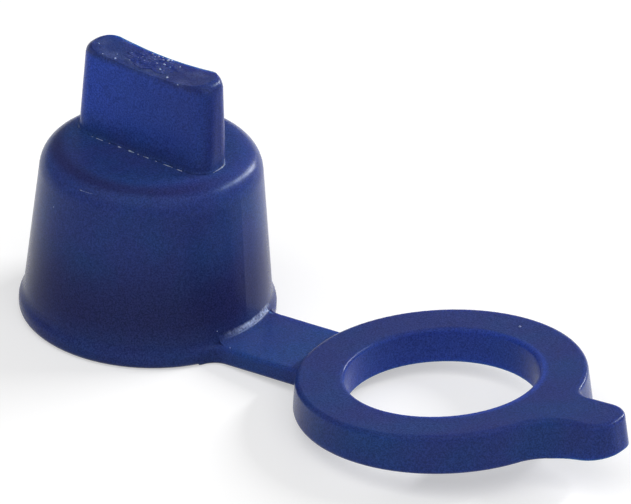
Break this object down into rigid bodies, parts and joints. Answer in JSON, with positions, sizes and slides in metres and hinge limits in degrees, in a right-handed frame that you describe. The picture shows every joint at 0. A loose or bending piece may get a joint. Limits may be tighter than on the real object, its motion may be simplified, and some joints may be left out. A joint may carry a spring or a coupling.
{
  "type": "grease fitting cap",
  "caption": "Push-on soft plastic cap for a grease fitting: a cup with a grip fin, tied by a flat strap to a retaining ring with a pull tab.",
  "frame": {"origin": "centre of the cup's open mouth, in the plane that the cup stands on", "axes": "+Z along the cup's axis towards the grip fin; +X from the cup along the strap to the ring and tab"},
  "size_m": [0.0347, 0.0144, 0.0138],
  "materials": {
    "blue_polyethylene": "as moulded, fine texture, dark blue soft polyethylene"
  },
  "bodies": {
    "root": {"grease_fitting_cap": "blue_polyethylene"}
  },
  "joints": []
}
